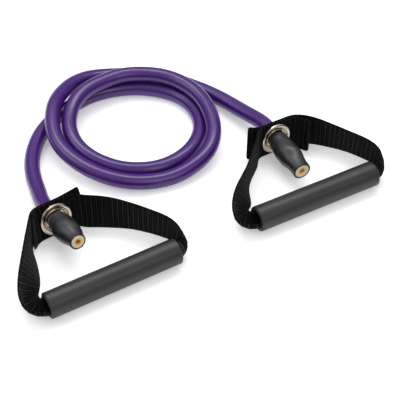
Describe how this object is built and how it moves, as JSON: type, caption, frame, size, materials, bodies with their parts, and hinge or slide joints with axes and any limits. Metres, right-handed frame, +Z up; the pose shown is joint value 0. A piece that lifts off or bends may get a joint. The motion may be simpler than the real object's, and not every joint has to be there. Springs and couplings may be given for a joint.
{
  "type": "resistance band with handles",
  "caption": "Elastic tube resistance band with soft foam hand grips on webbing D-handles joined by metal eyelets.",
  "frame": {"origin": "middle of the two handles' box in plan, on the surface that the band lies on", "axes": "+X along the handles' longest extent, +Z up from the surface, +Y towards the loops of tube"},
  "size_m": [0.3614, 0.3507, 0.0456],
  "materials": {
    "tube_skin": "soft satin rubber skin",
    "tube_core": "natural latex",
    "stop_plug": "matt moulded plug",
    "stop_sleeve": "satin moulded rubber",
    "webbing": "woven flat webbing",
    "eyelet_washer": "nickel plated",
    "eyelet_barrel": "gold coloured plate",
    "grip_core": "smooth rigid tube",
    "grip_foam": "closed cell foam, satin"
  },
  "bodies": {
    "tube": {"tube_skin": "tube_skin", "tube_core": "tube_core", "stop_plug_a": "stop_plug", "stop_sleeve_a": "stop_sleeve", "stop_plug_b": "stop_plug", "stop_sleeve_b": "stop_sleeve"},
    "handle_a": {"webbing_a": "webbing", "eyelet_washer_a": "eyelet_washer", "eyelet_barrel_a": "eyelet_barrel"},
    "grip_a": {"grip_core_a": "grip_core", "grip_foam_a": "grip_foam"},
    "handle_b": {"webbing_b": "webbing", "eyelet_washer_b": "eyelet_washer", "eyelet_barrel_b": "eyelet_barrel"},
    "grip_b": {"grip_core_b": "grip_core", "grip_foam_b": "grip_foam"}
  },
  "joints": [
    {"name": "handle_a_swivel", "type": "hinge", "parent": "tube", "child": "handle_a", "pos_m": [-0.147, -0.008, 0.019], "axis": [0.5174, -0.8279, 0.2164], "continuous": true},
    {"name": "grip_a_spin", "type": "hinge", "parent": "handle_a", "child": "grip_a", "pos_m": [-0.08894, -0.07707, 0.0127], "axis": [0.8634, 0.5045, 0], "continuous": true},
    {"name": "handle_b_swivel", "type": "hinge", "parent": "tube", "child": "handle_b", "pos_m": [0.067, 0.106, 0.0195], "axis": [0.4305, -0.9026, 0.0087], "continuous": true},
    {"name": "grip_b_spin", "type": "hinge", "parent": "handle_b", "child": "grip_b", "pos_m": [0.1031, 0.02909, 0.0127], "axis": [0.8788, 0.4772, 0], "continuous": true}
  ]
}
